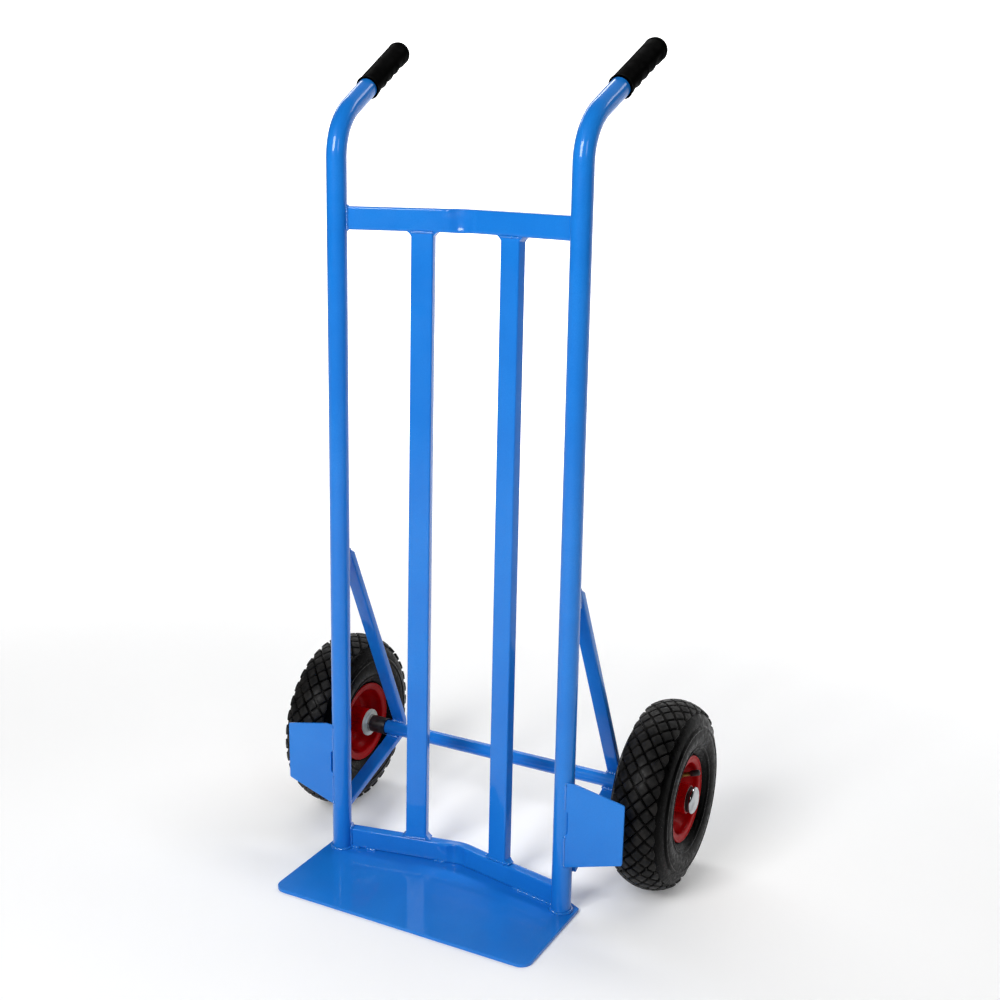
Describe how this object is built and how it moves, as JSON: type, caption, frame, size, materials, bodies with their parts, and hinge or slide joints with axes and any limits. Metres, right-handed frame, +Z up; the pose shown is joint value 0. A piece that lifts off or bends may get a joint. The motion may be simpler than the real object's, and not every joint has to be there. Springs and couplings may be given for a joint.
{
  "type": "hand truck",
  "caption": "Upright two-wheel hand truck with a flat toe plate, bent-back handles with grips, V-shaped crossbars, upright slats, wheel guards and pneumatic wheels.",
  "frame": {"origin": "on the floor, on the underside of the toe plate, midway between the side tubes and in the plane of their axes", "axes": "+Z up; +X to the right of somebody facing the toe plate; +Y from the toe plate towards the axle"},
  "size_m": [0.611, 0.417, 1.1284],
  "materials": {
    "blue_paint": "glossy blue powder coat",
    "red_paint": "red gloss paint",
    "tyre": "matt black rubber",
    "inner_tube": "black butyl rubber",
    "grip": "semi-gloss black rubber",
    "white_nylon": "matt off-white nylon",
    "black_plastic": "satin black",
    "steel": "bright zinc plate",
    "chrome": "bright chrome",
    "brass": "dull brass"
  },
  "bodies": {
    "frame": {"toe_plate": "blue_paint", "top_crossbar": "blue_paint", "bottom_crossbar": "blue_paint", "axle_bar": "blue_paint", "left_side_tube": "blue_paint", "left_grip": "grip", "left_slat": "blue_paint", "left_wheel_guard": "blue_paint", "left_strut": "blue_paint", "left_axle_spacer": "black_plastic", "left_inner_washer": "steel", "left_outer_washer": "black_plastic", "left_axle_cap": "chrome", "right_side_tube": "blue_paint", "right_grip": "grip", "right_slat": "blue_paint", "right_wheel_guard": "blue_paint", "right_strut": "blue_paint", "right_axle_spacer": "black_plastic", "right_inner_washer": "steel", "right_outer_washer": "black_plastic", "right_axle_cap": "chrome"},
    "left_wheel": {"left_tyre": "tyre", "left_inner_tube": "inner_tube", "left_rim": "red_paint", "left_hub": "red_paint", "left_inner_bush": "white_nylon", "left_outer_bush": "white_nylon", "left_valve_stem": "brass", "left_valve_cap": "black_plastic"},
    "right_wheel": {"right_tyre": "tyre", "right_inner_tube": "inner_tube", "right_rim": "red_paint", "right_hub": "red_paint", "right_inner_bush": "white_nylon", "right_outer_bush": "white_nylon", "right_valve_stem": "brass", "right_valve_cap": "black_plastic"}
  },
  "joints": [
    {"name": "left_wheel_spin", "type": "hinge", "parent": "frame", "child": "left_wheel", "pos_m": [-0.259, 0.146, 0.13], "axis": [1, 0, 0], "continuous": true},
    {"name": "right_wheel_spin", "type": "hinge", "parent": "frame", "child": "right_wheel", "pos_m": [0.259, 0.146, 0.13], "axis": [1, 0, 0], "continuous": true}
  ]
}
